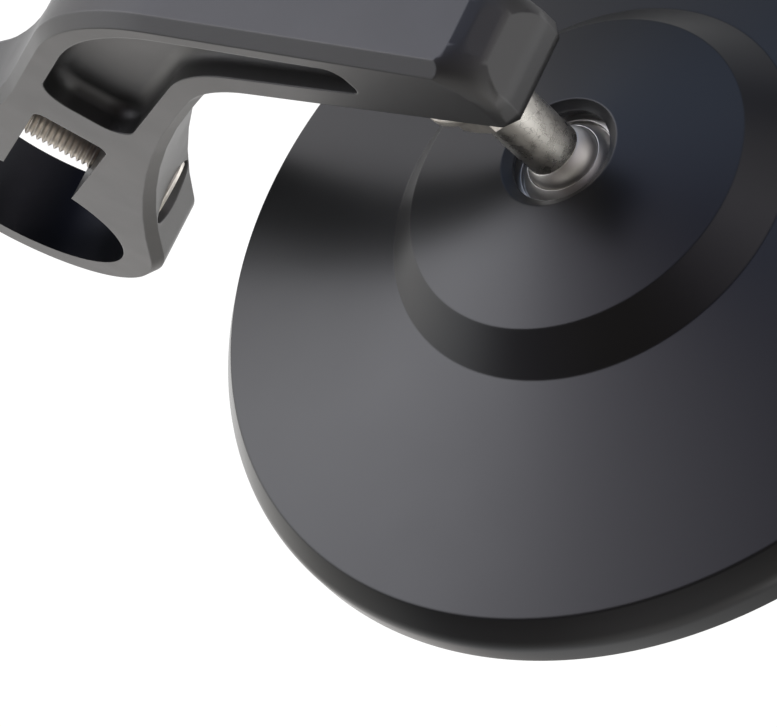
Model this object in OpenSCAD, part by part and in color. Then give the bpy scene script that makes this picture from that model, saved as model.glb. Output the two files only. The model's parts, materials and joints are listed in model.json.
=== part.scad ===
// Motorcycle bar end mirror: a machined arm that clamps round a bar end weight,
// a ball stud locked into its nose, and a turned round mirror housing on the ball.
// Origin: centre of the clamp bore, half way through the arm.
// +Y runs along the handlebar, +Z is up, and the glass faces +X.

/* [Clamp] */
// Bore that grips the bar end
bore_d = 30; // [26:0.5:33]
// Wall of the clamp ring
ring_wall = 5.2; // [4.5:0.1:7]
// Width of the keyhole slot
slot_w = 9.7; // [8:0.1:10.5]
// Far end of the slot, from the bore's centre
slot_end = 40.3; // [36:0.1:42]
// Radius in the slot's two end corners
slot_corner_r = 1.5; // [1:0.1:2.5]
// Distance of the clamp screw from the bore's centre
screw_out = 18.5; // [18.2:0.1:21]
// Thread diameter of the clamp screw
screw_d = 5; // [4:0.5:5]
// Length of the clamp screw under its head
screw_len = 20; // [18:1:24]

/* [Arm] */
// Thickness of the arm along the handlebar
arm_t = 12; // [11:0.5:16]
// Width of the straight part of the leg
leg_w = 18.8; // [17:0.2:22]
// Lean of the leg away from upright
leg_lean = 30; // [24:1:34]
// Slope of the beam's top face
top_slope = 10.6; // [8:0.2:12]
// Slope of the beam's underside
under_slope = 6.5; // [4:0.5:8]
// Radius outside the elbow
elbow_out_r = 36; // [26:1:40]
// Radius inside the elbow
elbow_in_r = 20; // [12:1:24]
// Radius of the flank that runs from the ring up the front of the leg
front_flank_r = 180; // [120:5:220]
// Radius of the flank that runs from the ring up the back of the leg
back_flank_r = 75; // [50:5:90]
// Width of the bevel round both side faces
bevel_in = 1.1; // [0.6:0.1:1.5]
// Depth of that bevel into the arm's thickness
bevel_deep = 1.5; // [0.8:0.1:2]
// Depth of the lightening pocket in each side
pocket_deep = 3.5; // [2:0.1:4]
// Wall left between the pocket and the leg's two edges
pocket_wall = 3.6; // [3:0.1:5]
// Wall left above the pocket, along the beam's top
pocket_top_wall = 2.6; // [2.4:0.1:3.4]
// Wall left below the pocket, along the beam's underside
pocket_under_wall = 4; // [3:0.1:4.4]
// Bridge left between the slot and the pocket
pocket_bridge = 7.7; // [6:0.1:12]

/* [Ball stud] */
// Height of the ball stud above the bore's centre
stud_z = 104.4; // [102:0.2:106]
// Distance of the ball's centre behind the bore's centre
ball_back = 10; // [8:0.5:12]
// Diameter of the ball
ball_d = 8; // [7.6:0.1:8.2]
// Diameter of the stud's neck
neck_d = 6; // [5.6:0.1:6.2]
// Diameter of the stud's thread
stud_thread_d = 5; // [4:0.5:5]
// How far the thread reaches into the arm
stud_grip = 6.5; // [5:0.1:6.8]
// Diameter of the washer under the nose
washer_d = 11.8; // [10:0.1:12]
// Thickness of that washer
washer_t = 1.2; // [0.8:0.1:1.6]
// Width of the jam nut across its flats
nut_af = 8; // [8:0.1:9]
// Height of the jam nut
nut_h = 4; // [2.7:0.1:4.2]

/* [Mirror] */
// Diameter across the housing's front rim
rim_d = 96.4; // [94:0.2:110]
// Width of the round shoulder between the back face and the rim's side
shoulder_w = 2; // [1.8:0.1:3]
// Radius at the outer foot of the raised boss
boss_foot_r = 22.7; // [20:0.1:26]
// Radius at the inner edge of the boss's bevel
boss_top_r = 18.8; // [16:0.1:19.5]
// Radius of the hole's mouth
mouth_r = 6.5; // [6.2:0.1:8]
// Radius of the hole behind the countersunk mouth
throat_r = 5.45; // [5.3:0.05:5.6]
// Fall of the boss's face from the mouth to its bevel
boss_fall = 3.4; // [2.5:0.1:4]
// Fall of the boss's bevel
bevel_fall = 3.5; // [2.5:0.1:4]
// Fall of the back face from the boss's foot to its outer edge
back_fall = 5.3; // [4.5:0.1:7]
// Depth of the side wall behind the back face's edge
side_fall = 5.4; // [5:0.1:8]
// Depth of the ball's centre below the mouth
ball_sink = 2.3; // [2.2:0.05:2.5]
// Wall of the housing under its back face
shell_wall = 2.2; // [1.8:0.1:3]
// Width of the rim's lip round the glass
rim_lip = 1.1; // [0.9:0.1:2]
// Thickness of the mirror glass
glass_t = 1.8; // [1.5:0.1:2.2]
// Radius of the glass's convex front
glass_curve_r = 1200; // [900:100:2000]
// Tilt of the mirror on its ball, as photographed
rest_tilt = 9; // [0:1:14]
// Direction of that tilt, turned from upright towards the bar's inner end
rest_swing = 16; // [0:1:45]

/* [Hidden] */
$fn = 96;
eps = 0.01;

// Angle between neighbouring points on a rounded outline
arc_step = 3;
// Running clearance round the ball and round the seat in its bore
ball_gap = 0.06;
bore_gap = 0.05;
// Clearance between parts that are stacked face to face in different bodies
stack_gap = 0.05;
// Clearance of a plain hole round a screw, and of a thread in its tapped hole
screw_gap = 0.25;
thread_gap = 0.03;

bore_r = bore_d / 2;
ring_r = bore_r + ring_wall;
leg_half = leg_w / 2;
ball_r = ball_d / 2;
ball_x = -ball_back;

// The clamp screw's head and its seat in the front jaw
head_d = screw_d * 1.7;
head_h = screw_d;
head_gap = 0.15;
socket_af = screw_d * 0.8;
socket_deep = screw_d * 0.5;
jaw_seat = slot_w / 2 + 5.2;

// Small helpers for flat outlines
function unit(v) = v / norm(v);
function left_of(v) = [-v[1], v[0]];
function cross2(a, b) = a[0] * b[1] - a[1] * b[0];
function on_circle(c, r, a) = c + r * [cos(a), sin(a)];
function arc(c, r, a0, a1) =
    let (n = max(1, ceil(abs(a1 - a0) / arc_step)))
    [for (i = [0:n]) on_circle(c, r, a0 + (a1 - a0) * i / n)];
function meet(p, d, q, e) = p + d * cross2(q - p, e) / cross2(d, e);

// A rounded corner at b of an anticlockwise outline, moved inwards by inset.
// The arc keeps its centre, so outlines with different insets run parallel.
function corner(a, b, c, r, inset) =
    let (t1 = unit(b - a), t2 = unit(c - b), n1 = left_of(t1), n2 = left_of(t2),
         turn = atan2(cross2(t1, t2), t1 * t2), s = sign(turn), ri = max(0.05, r - s * inset),
         tip = b + inset * (n1 + n2) / (1 + n1 * n2),
         start = tip - t1 * ri * tan(abs(turn) / 2), mid = start + s * ri * n1,
         a0 = atan2((start - mid)[1], (start - mid)[0]))
    arc(mid, ri, a0, a0 + turn);
function rounded(pts, radii, inset = 0) =
    let (n = len(pts))
    [for (i = [0:n - 1]) each corner(pts[(i + n - 1) % n], pts[i], pts[(i + 1) % n], radii[i], inset)];

// The leg's own directions in the XZ plane: out along the leg, and across it to the front
leg_out = [-sin(leg_lean), cos(leg_lean)];
leg_across = [cos(leg_lean), sin(leg_lean)];
function on_leg(u, v) = leg_out * u + leg_across * v;

// The beam's two long edges. Each ends on the nose, behind the ball and above the stud.
top_dir = [sin(top_slope), cos(top_slope)];
under_dir = [sin(under_slope), cos(under_slope)];
top_end_back = 25.7;
top_end_up = 6.9;
under_end_back = 15.5;
under_end_up = 9.5;
top_end = [ball_x - top_end_back, stud_z + top_end_up];
under_end = [ball_x - under_end_back, stud_z + under_end_up];
elbow_out = meet(on_leg(0, -leg_half), leg_out, top_end, top_dir);
elbow_in = meet(on_leg(0, leg_half), leg_out, under_end, under_dir);

// The nose, from the end of the top face round to the underside: two flats and four corners
nose_slope_run = [2.4, 2.1];
nose_front_run = [3.9, 0.8];
nose_crease = top_end + nose_slope_run;
nose_front = nose_crease + nose_front_run;
nose_r = [1.7, 1.7, 6, 1.7];

// Centres of the two concave flanks, each tangent to the ring and to the leg's wall
function flank_centre(r, side) =
    [sqrt(pow(ring_r + r, 2) - pow(leg_half + r, 2)), side * (leg_half + r)];
front_c = flank_centre(front_flank_r, 1);
back_c = flank_centre(back_flank_r, -1);

// Outline of the arm seen along the handlebar, anticlockwise with +X right and +Z up
function arm_outline(inset) =
    let (front_a = atan2(front_c[1], front_c[0]), back_a = atan2(back_c[1], back_c[0]),
         ring = arc([0, 0], ring_r - inset, back_a, back_a - 360 + (front_a - back_a)),
         front = arc(front_c, front_flank_r + inset, 180 + front_a, 270),
         back = arc(back_c, back_flank_r + inset, 90, 180 + back_a),
         flat_ring = [for (i = [1:len(ring) - 2]) on_leg(ring[i][0], ring[i][1])],
         flat_front = [for (p = front) on_leg(p[0], p[1])],
         flat_back = [for (p = back) on_leg(p[0], p[1])],
         c = [elbow_in, under_end, nose_front, nose_crease, top_end, elbow_out])
    concat(flat_back, flat_ring, flat_front,
           corner(on_leg(0, leg_half), c[0], c[1], elbow_in_r, inset),
           corner(c[0], c[1], c[2], nose_r[3], inset),
           corner(c[1], c[2], c[3], nose_r[2], inset),
           corner(c[2], c[3], c[4], nose_r[1], inset),
           corner(c[3], c[4], c[5], nose_r[0], inset),
           corner(c[4], c[5], on_leg(0, -leg_half), elbow_out_r, inset));

// Places a child drawn along +Z on the leg, pointing across it to the front
module across_leg(u) {
    translate([leg_out[0] * u, 0, leg_out[1] * u]) rotate([0, 90 - leg_lean, 0]) children();
}

// Places a flat outline of the XZ plane, pushed along +Y from y0 by h
module along_bar(y0, h) {
    translate([0, y0 + h, 0]) rotate([90, 0, 0]) linear_extrude(h) children();
}

module keyhole_slot() {
    c = slot_w / 2 - slot_corner_r;
    through = arm_t + 2;
    rotate([0, -leg_lean, 0]) {
        translate([-slot_w / 2, -through / 2, 0]) cube([slot_w, through, slot_end - slot_corner_r]);
        translate([-c, -through / 2, 0]) cube([2 * c, through, slot_end]);
        for (s = [-1, 1])
            translate([s * c, through / 2, slot_end - slot_corner_r])
                rotate([90, 0, 0]) cylinder(r = slot_corner_r, h = through, $fn = 48);
    }
}

// The pocket starts above the slot and tapers into a slot of its own along the beam
pocket_tip_drop = 7.6;
pocket_foot_r = 4;
pocket_tip_r = [1.2, 2.1];
module pocket_shape() {
    foot = slot_end + pocket_bridge;
    v = leg_half - pocket_wall;
    top_p = top_end + pocket_top_wall * [cos(top_slope), -sin(top_slope)];
    under_p = under_end - pocket_under_wall * [cos(under_slope), -sin(under_slope)];
    tip_z = stud_z - pocket_tip_drop;
    tip_top = meet(top_p, top_dir, [0, tip_z], [1, 0]);
    tip_under = meet(under_p, under_dir, [0, tip_z], [1, 0]);
    inner = meet(on_leg(0, v), leg_out, under_p, under_dir);
    outer = meet(on_leg(0, -v), leg_out, top_p, top_dir);
    polygon(rounded([on_leg(foot, v), inner, tip_under, tip_top, outer, on_leg(foot, -v)],
                    [pocket_foot_r, elbow_in_r, pocket_tip_r[0], pocket_tip_r[1],
                     elbow_out_r - pocket_wall, pocket_foot_r]));
}

// The clamp screw's counterbore, clearance hole and tapped hole
module screw_holes() {
    far = ring_r + 2;
    across_leg(screw_out) {
        translate([0, 0, jaw_seat]) cylinder(d = head_d + 2 * head_gap, h = far);
        cylinder(d = screw_d + 2 * screw_gap, h = far);
        translate([0, 0, -far]) cylinder(d = screw_d + 2 * thread_gap, h = far);
    }
}

// Everything along the stud is measured from the arm's seat for the washer
stud_reach = 17.2;
seat_x = ball_x - stud_reach;
module along_stud(x) {
    translate([x, 0, stud_z]) rotate([0, 90, 0]) children();
}

// A solid that grows from each side face to mid-thickness at the slope of the bevel.
// It reaches a little past both side faces, so only its slopes cut the arm.
module bevel_envelope() {
    past = 0.2;
    slope = bevel_in / bevel_deep;
    wide = arm_outline(bevel_in - slope * arm_t / 2);
    narrow = arm_outline(bevel_in + slope * past);
    n = len(wide);
    levels = [[narrow, -arm_t / 2 - past], [wide, 0], [narrow, arm_t / 2 + past]];
    points = [for (l = levels) each [for (p = l[0]) [p[0], l[1], p[1]]]];
    walls = [for (k = [0:1]) each [for (i = [0:n - 1])
        let (j = (i + 1) % n) [k * n + i, k * n + j, (k + 1) * n + j, (k + 1) * n + i]]];
    near_cap = [for (i = [n - 1:-1:0]) i];
    far_cap = [for (i = [0:n - 1]) 2 * n + i];
    polyhedron(points, concat([near_cap, far_cap], walls), convexity = 8);
}

washer_gap = 0.1;
spot_face_h = 8;
module arm() {
    color([0.29, 0.29, 0.30])
    intersection() {
        difference() {
            along_bar(-arm_t / 2, arm_t) polygon(arm_outline(0));
            translate([0, arm_t, 0]) rotate([90, 0, 0]) cylinder(r = bore_r, h = 2 * arm_t, $fn = 128);
            keyhole_slot();
            screw_holes();
            along_bar(arm_t / 2 - pocket_deep, arm_t) pocket_shape();
            along_bar(-arm_t * 1.5 + pocket_deep, arm_t) pocket_shape();
            along_stud(seat_x) cylinder(d = washer_d + 2 * washer_gap, h = spot_face_h);
            along_stud(seat_x - stud_grip - 1)
                cylinder(d = stud_thread_d + 2 * thread_gap, h = stud_grip + 2);
        }
        bevel_envelope();
    }
}

module clamp_screw() {
    chamfer = 0.4;
    point = 0.6;
    tip_z = jaw_seat - screw_len;
    color([0.66, 0.63, 0.58])
    across_leg(screw_out) difference() {
        union() {
            translate([0, 0, jaw_seat]) cylinder(d = head_d, h = head_h - chamfer);
            translate([0, 0, jaw_seat + head_h - chamfer - eps])
                cylinder(d1 = head_d, d2 = head_d - 2 * chamfer, h = chamfer);
            translate([0, 0, tip_z + point]) cylinder(d = screw_d, h = screw_len - point + eps);
            translate([0, 0, tip_z]) cylinder(d1 = screw_d - 2 * point, d2 = screw_d, h = point + eps);
        }
        translate([0, 0, jaw_seat + head_h - socket_deep])
            cylinder(d = socket_af / cos(30), h = socket_deep + 1, $fn = 6);
    }
}

module stud_washer() {
    hole_r = stud_thread_d / 2 + 0.15;
    outer_r = washer_d / 2;
    chamfer = 0.25;
    color([0.78, 0.76, 0.70])
    along_stud(seat_x) rotate_extrude() polygon([
        [hole_r, 0], [outer_r - chamfer, 0], [outer_r, chamfer],
        [outer_r, washer_t - chamfer], [outer_r - chamfer, washer_t], [hole_r, washer_t]]);
}

nut_x = seat_x + washer_t;
module jam_nut() {
    across = nut_af / cos(30);
    face_d = nut_af * 0.98;
    cone_d = face_d + 2 * nut_h * tan(60);
    sink = 0.4;
    color([0.72, 0.71, 0.67])
    along_stud(nut_x) difference() {
        intersection() {
            cylinder(d = across, h = nut_h, $fn = 6);
            cylinder(d1 = face_d, d2 = cone_d, h = nut_h);
            cylinder(d1 = cone_d, d2 = face_d, h = nut_h);
        }
        translate([0, 0, -1]) cylinder(d = stud_thread_d + 2 * thread_gap, h = nut_h + 2);
        translate([0, 0, -eps]) cylinder(d1 = stud_thread_d + 2 * sink, d2 = stud_thread_d, h = sink);
    }
}

// Thread, neck and ball turned in one piece
neck_x = nut_x + nut_h;
module ball_stud() {
    neck_r = neck_d / 2;
    relief = 0.3;
    relief_r = neck_r - relief;
    relief_z = -sqrt(pow(ball_r, 2) - pow(relief_r, 2)) - 0.1;
    relief_rise = 0.25;
    shoulder_z = neck_x - ball_x;
    thread_r = stud_thread_d / 2;
    thread_z = seat_x - stud_grip - ball_x;
    point = 0.5;
    color([0.72, 0.70, 0.65])
    along_stud(ball_x) {
        sphere(r = ball_r);
        rotate_extrude() polygon([
            [0, -1], [relief_r, -1], [relief_r, relief_z], [neck_r, relief_z - relief_rise],
            [neck_r, shoulder_z + relief], [relief_r, shoulder_z], [thread_r, shoulder_z],
            [thread_r, thread_z + point], [thread_r - point, thread_z], [0, thread_z]]);
    }
}

// The mirror's own frame has its origin at the ball's centre and +Z through the glass
module on_ball() {
    translate([ball_x, 0, stud_z]) rotate([-rest_swing, 0, 0]) rotate([0, 90 + rest_tilt, 0])
        children();
}
mouth_z = -ball_sink;
bevel_z = mouth_z + boss_fall;
foot_z = bevel_z + bevel_fall;
edge_z = foot_z + back_fall;
rim_z = edge_z + side_fall;
rim_r = rim_d / 2;
back_r = rim_r - shoulder_w;

// Throat of the housing: a thin lip, an undercut, the seat's bore and the plug's thread
throat_fall = 0.65;
lip_t = 0.3;
undercut_r = throat_r + 0.5;
ring_z = -0.3;
seat_r = undercut_r + 0.45;
plug_r = seat_r + 0.7;
ring_t = 0.6;
seat_flange_t = 0.9;
cup_z = ring_z + ring_t + seat_flange_t + 2 * stack_gap;
cup_t = 5;
spring_t = 0.5;
spring_rise = 0.55;
spring_z = cup_z + cup_t + stack_gap;
spring_h = 2 * (spring_t + spring_rise);
plug_z = spring_z + spring_h + stack_gap;
plug_t = 2.6;

// The glass lies in a recess behind the rim, on a ledge and on the hub
seal_t = 0.35;
recess_r = rim_r - rim_lip;
glass_r = recess_r - seal_t - 0.05;
glass_back_z = rim_z - 0.6 - glass_t - 0.9;
pad_t = 0.7;
ledge_z = glass_back_z - pad_t;
ledge_r = recess_r - 4.2;
hub_r = 13;
hub_z = ledge_z + 0.2;

module mirror_housing() {
    side_r = rim_r - 0.25;
    shoulder = shoulder_w * 1.3;
    slope = back_fall / (back_r - boss_foot_r);
    floor_out_z = edge_z - (back_r - ledge_r) * slope + shell_wall;
    floor_in_r = boss_foot_r - 2;
    floor_in_z = foot_z - 2 * slope + shell_wall + 1.2;
    color([0.13, 0.135, 0.15])
    on_ball() difference() {
        rotate_extrude($fn = 180) polygon([
            [seat_r - 1, mouth_z], [mouth_r, mouth_z], [boss_top_r, bevel_z],
            [boss_foot_r, foot_z], [boss_foot_r + 0.4, foot_z + 0.25], [back_r, edge_z],
            [back_r + shoulder_w * 0.25, edge_z + shoulder * 0.1],
            [back_r + shoulder_w * 0.7, edge_z + shoulder * 0.45],
            [rim_r, edge_z + shoulder], [rim_r, rim_z - 0.3], [side_r, rim_z],
            [recess_r + 0.1, rim_z], [recess_r, rim_z - 0.1], [recess_r, ledge_z], [ledge_r, ledge_z],
            [ledge_r - 0.6, floor_out_z], [floor_in_r, floor_in_z], [hub_r, floor_in_z + 0.6],
            [hub_r, hub_z], [seat_r - 1, hub_z]]);
        translate([0, 0, mouth_z - eps])
            cylinder(r1 = mouth_r + eps, r2 = throat_r, h = throat_fall + eps);
        translate([0, 0, mouth_z - 1]) cylinder(r = throat_r, h = 20);
        translate([0, 0, mouth_z + throat_fall + lip_t]) cylinder(r = undercut_r, h = 20);
        translate([0, 0, ring_z]) cylinder(r = seat_r, h = 20);
        translate([0, 0, plug_z - 0.6]) cylinder(r = plug_r, h = 20);
    }
}

module retaining_ring() {
    color([0.75, 0.75, 0.75])
    on_ball() translate([0, 0, ring_z]) difference() {
        cylinder(r = seat_r - 0.02, h = ring_t);
        translate([0, 0, -1]) cylinder(r = throat_r - 0.3, h = ring_t + 2);
    }
}

// The plastic seat reaches past the ball's widest circle on the neck's side
module front_seat() {
    lip_z = -ball_sink / 2;
    lip_h = 0.15;
    socket_r = ball_r + ball_gap;
    hold_r = sqrt(pow(socket_r, 2) - pow(lip_z + lip_h, 2));
    flange_z = ring_z + ring_t + stack_gap;
    color([0.06, 0.06, 0.065])
    on_ball() difference() {
        union() {
            translate([0, 0, lip_z]) cylinder(r = throat_r - 0.4, h = flange_z - lip_z + eps);
            translate([0, 0, flange_z]) cylinder(r = seat_r - bore_gap, h = seat_flange_t);
        }
        sphere(r = socket_r);
        translate([0, 0, lip_z - eps])
            cylinder(r1 = socket_r + 0.3, r2 = hold_r, h = lip_h + eps);
    }
}

module rear_cup() {
    vent_r = 1.6;
    vent_deep = 0.8;
    color([0.10, 0.10, 0.11])
    on_ball() difference() {
        translate([0, 0, cup_z]) cylinder(r = seat_r - bore_gap, h = cup_t);
        sphere(r = ball_r + ball_gap);
        translate([0, 0, cup_z + cup_t - vent_deep]) cylinder(r = vent_r, h = 2);
    }
}

// Two coned spring washers, back to back, press the cup onto the ball
module coned_washer(flip) {
    inner = 3.1;
    outer = seat_r - 0.3;
    rotate_extrude() polygon([
        [inner, flip ? spring_rise : 0], [outer, flip ? 0 : spring_rise],
        [outer, (flip ? 0 : spring_rise) + spring_t], [inner, (flip ? spring_rise : 0) + spring_t]]);
}
module disc_springs() {
    color([0.55, 0.55, 0.56])
    on_ball() translate([0, 0, spring_z]) {
        coned_washer(false);
        translate([0, 0, spring_t + spring_rise + 0.02]) coned_washer(true);
    }
}

// Two blind holes in the plug take a pin spanner
module preload_plug() {
    spanner_out = 3.6;
    spanner_r = 0.9;
    spanner_deep = 1.5;
    color([0.62, 0.62, 0.63])
    on_ball() translate([0, 0, plug_z + 0.05]) difference() {
        cylinder(r = plug_r - thread_gap, h = plug_t);
        for (s = [-1, 1])
            translate([s * spanner_out, 0, plug_t - spanner_deep])
                cylinder(r = spanner_r, h = 2, $fn = 32);
    }
}

// Adhesive foam under the glass: a ring on the ledge and a ring on the hub
module bond_pads() {
    sag = glass_curve_r - sqrt(pow(glass_curve_r, 2) - pow(glass_r, 2));
    color([0.16, 0.16, 0.16])
    on_ball() {
        translate([0, 0, ledge_z]) difference() {
            cylinder(r = recess_r - 0.3, h = pad_t);
            translate([0, 0, -1]) cylinder(r = ledge_r + 0.3, h = pad_t + 2);
        }
        translate([0, 0, hub_z]) difference() {
            cylinder(r = hub_r, h = glass_back_z - hub_z + sag * 0.88);
            translate([0, 0, -1]) cylinder(r = plug_r + 0.6, h = 10);
        }
    }
}

// Bent glass: both faces are parts of spheres with one centre
module mirror_glass() {
    back_curve = glass_curve_r - glass_t;
    edge_a = asin(glass_r / glass_curve_r);
    middle_z = glass_back_z - back_curve * cos(edge_a);
    steps = 10;
    function cap(r) = [for (i = [0:steps])
        let (a = edge_a * i / steps) [r * sin(a), middle_z + r * cos(a)]];
    back = cap(back_curve);
    front = cap(glass_curve_r);
    color([0.80, 0.84, 0.88])
    on_ball() rotate_extrude($fn = 180)
        polygon(concat([for (i = [0:steps]) back[i]], [for (i = [steps:-1:0]) front[i]]));
}

module glass_seal() {
    color([0.05, 0.05, 0.05])
    on_ball() rotate_extrude($fn = 180) polygon([
        [glass_r + 0.05, glass_back_z], [recess_r - 0.02, glass_back_z],
        [recess_r - 0.02, rim_z - 0.35], [glass_r + 0.05, rim_z - 0.6]]);
}

arm();
clamp_screw();
stud_washer();
jam_nut();
ball_stud();
mirror_housing();
retaining_ring();
front_seat();
rear_cup();
disc_springs();
preload_plug();
bond_pads();
mirror_glass();
glass_seal();
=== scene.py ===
# %% [markdown]
# # A bar end mirror, dressed for its portrait
# The mirror clamps on the end of a motorcycle's handlebar. Its construction is already fixed:
# this script loads it as a frame and only dresses it. We replace the coarse turned parts with
# fine meshes at the same places, and give each surface the finish of the real one.
# The camera looks down on the mirror's black back, so that is where most of the work goes.

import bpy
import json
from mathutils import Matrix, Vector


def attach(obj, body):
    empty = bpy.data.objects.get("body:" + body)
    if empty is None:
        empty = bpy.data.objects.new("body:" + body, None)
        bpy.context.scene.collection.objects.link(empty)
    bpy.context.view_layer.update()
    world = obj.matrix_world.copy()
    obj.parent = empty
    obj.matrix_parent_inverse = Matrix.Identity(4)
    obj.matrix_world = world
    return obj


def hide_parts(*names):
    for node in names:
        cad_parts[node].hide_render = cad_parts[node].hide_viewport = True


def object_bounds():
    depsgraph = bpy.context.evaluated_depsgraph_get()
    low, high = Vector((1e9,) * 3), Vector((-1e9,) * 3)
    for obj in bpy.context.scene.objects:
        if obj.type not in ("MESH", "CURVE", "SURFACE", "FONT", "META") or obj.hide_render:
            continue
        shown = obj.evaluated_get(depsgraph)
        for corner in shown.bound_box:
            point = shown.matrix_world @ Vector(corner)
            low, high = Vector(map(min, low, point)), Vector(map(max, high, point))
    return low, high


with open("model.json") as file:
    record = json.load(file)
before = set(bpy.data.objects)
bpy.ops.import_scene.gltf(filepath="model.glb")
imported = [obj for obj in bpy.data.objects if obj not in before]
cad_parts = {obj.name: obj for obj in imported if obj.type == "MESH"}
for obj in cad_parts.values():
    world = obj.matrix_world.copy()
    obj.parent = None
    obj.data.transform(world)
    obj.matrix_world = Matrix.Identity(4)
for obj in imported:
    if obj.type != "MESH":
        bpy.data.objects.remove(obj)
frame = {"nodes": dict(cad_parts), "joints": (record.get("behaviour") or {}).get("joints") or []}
cad_low, cad_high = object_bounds()
print("frame size in mm:", [round(1000 * (b - a), 1) for a, b in zip(cad_low, cad_high)])

# %% Libraries and units
import json
import math

import bmesh
import bpy
from mathutils import Matrix, Vector

MM = 0.001

# %% [markdown]
# ## Places that come from the frame
# The ball joint gives every place that we need. Its hinges name the ball's centre, and the
# spin hinge names the mirror's own axis. Two matrices follow from them: one lays a turned part
# along the stud, and one lays it along the mirror's axis, with +Z running into the housing.

# %% The stud's frame and the mirror's frame
hinges = {joint["name"]: joint for joint in frame["joints"]}
ball_centre = Vector(hinges["mirror_spin"]["pos_m"])
mirror_out = Vector(hinges["mirror_spin"]["axis"]).normalized()


def frame_along(direction, origin):
    """A matrix that takes +Z to a direction and keeps Y as level as it can."""
    z = direction.normalized()
    x = Vector((0, 1, 0)).cross(z).normalized()
    y = z.cross(x)
    turn = Matrix((x, y, z)).transposed().to_4x4()
    return Matrix.Translation(origin) @ turn


stud_frame = frame_along(Vector((1, 0, 0)), ball_centre)
mirror_frame = frame_along(-mirror_out, ball_centre)
print("ball centre in mm:", [round(c / MM, 2) for c in ball_centre])

# %% [markdown]
# ## Camera
# The viewpoint was worked out from the photograph: the ellipses of the housing give the tilt
# and the scale, and the arm's edges give the rest. The lens is long, about 125 mm on a
# 36 mm sensor, so the picture has little perspective. No shift is needed.

# %% Place the camera
camera_place = Vector((-182.8, -97.0, 295.2)) * MM
camera_back = Vector((-0.6266, -0.2622, 0.7339)).normalized()
camera_up = Vector((-0.4852, 0.8682, -0.1041))
camera_right = camera_up.cross(camera_back).normalized()
camera_up = camera_back.cross(camera_right)

camera_data = bpy.data.cameras.new("camera")
camera_data.sensor_width = 36
camera_data.lens = 125.1
camera_data.clip_start = 0.01
camera = bpy.data.objects.new("camera", camera_data)
camera.matrix_world = (
    Matrix.Translation(camera_place)
    @ Matrix((camera_right, camera_up, camera_back)).transposed().to_4x4()
)
bpy.context.scene.collection.objects.link(camera)
bpy.context.scene.camera = camera
bpy.context.scene.view_settings.view_transform = "Standard"
print("camera looks along", [round(-c, 3) for c in camera_back])

# %% [markdown]
# ## Studio
# Black metal shows what stands round it, so the light has to be placed with care. A studio does
# it with softboxes and black cards. Area lamps could copy them, but each would add noise and a
# hard outline in the polished steel. Here the world itself holds many round soft fields. Light is
# a plain sum, so the strength of each field could be fitted to the photograph one by one.

# %% The light fields


def studio_direction(right, up, back):
    """A direction given as the camera sees it: to the right, up, and towards the camera."""
    return (camera_right * right + camera_up * up + camera_back * back).normalized()


# Each field: direction (right, up, back), then its light in red, green and blue
fields = [
    (0.18, 0.00, 0.98, 0.07, 0.06, 0.07),
    (0.29, 0.37, 0.88, 0.19, 0.18, 0.20),
    (-0.52, -0.09, 0.85, 0.05, 0.04, 0.03),
    (0.49, -0.31, 0.82, 0.07, 0.07, 0.05),
    (0.66, 0.24, 0.72, 0.34, 0.32, 0.33),
    (0.32, -0.69, 0.65, 0.22, 0.21, 0.19),
    (0.24, 0.75, 0.62, 0.18, 0.18, 0.20),
    (0.82, -0.18, 0.55, 0.34, 0.34, 0.32),
    (-0.49, 0.70, 0.52, 0.00, 0.00, 0.06),
    (-0.11, -0.87, 0.48, 0.41, 0.40, 0.39),
    (0.68, 0.58, 0.45, 0.19, 0.18, 0.17),
    (-0.91, 0.04, 0.42, 0.11, 0.10, 0.12),
    (0.65, -0.65, 0.38, 1.50, 1.50, 1.50),
    (-0.04, 0.94, 0.35, 0.12, 0.15, 0.20),
    (-0.61, -0.73, 0.32, 0.07, 0.06, 0.06),
    (0.95, 0.13, 0.28, 0.50, 0.50, 0.50),
    (-0.79, 0.55, 0.25, 1.02, 0.99, 1.06),
    (0.21, -0.95, 0.22, 0.03, 0.02, 0.01),
    (0.49, 0.85, 0.18, 0.09, 0.08, 0.08),
    (0.90, -0.42, 0.12, 0.60, 0.60, 0.60),
    (-0.38, 0.92, 0.08, 0.22, 0.28, 0.40),
    (-0.34, -0.94, 0.05, 0.19, 0.19, 0.17),
    (-0.97, 0.25, -0.02, 1.61, 1.63, 1.66),
    (0.54, -0.84, -0.05, 0.12, 0.12, 0.12),
    (0.17, 0.98, -0.08, 0.01, 0.02, 0.05),
    (0.99, -0.08, -0.15, 0.25, 0.25, 0.25),
    (-0.67, 0.72, -0.18, 0.57, 0.57, 0.60),
    (0.00, -0.98, -0.22, 0.40, 0.40, 0.40),
    (-0.49, -0.78, -0.38, 0.18, 0.19, 0.20),
    (-0.79, 0.41, -0.45, 0.48, 0.46, 0.46),
    (0.30, -0.82, -0.48, 0.30, 0.30, 0.29),
    (0.32, 0.79, -0.52, 0.38, 0.38, 0.38),
    (-0.75, -0.36, -0.55, 0.49, 0.48, 0.45),
    (-0.16, -0.74, -0.65, 0.35, 0.35, 0.35),
    (-0.69, 0.09, -0.72, 0.47, 0.47, 0.46),
    (0.43, -0.50, -0.75, 0.11, 0.11, 0.09),
    (0.02, 0.62, -0.78, 0.12, 0.12, 0.12),
    (-0.41, -0.41, -0.82, 0.44, 0.42, 0.40),
    (0.53, 0.03, -0.85, 0.50, 0.50, 0.50),
    (-0.36, 0.30, -0.88, 0.30, 0.30, 0.30),
    (0.06, -0.40, -0.92, 0.15, 0.13, 0.12),
    (0.18, 0.26, -0.95, 0.25, 0.25, 0.25),
    (-0.18, -0.04, -0.98, 1.00, 1.00, 1.00),
    (0.88, 0.24, -0.42, 1.50, 1.50, 1.50),
]
print("studio fields:", len(fields))

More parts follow.
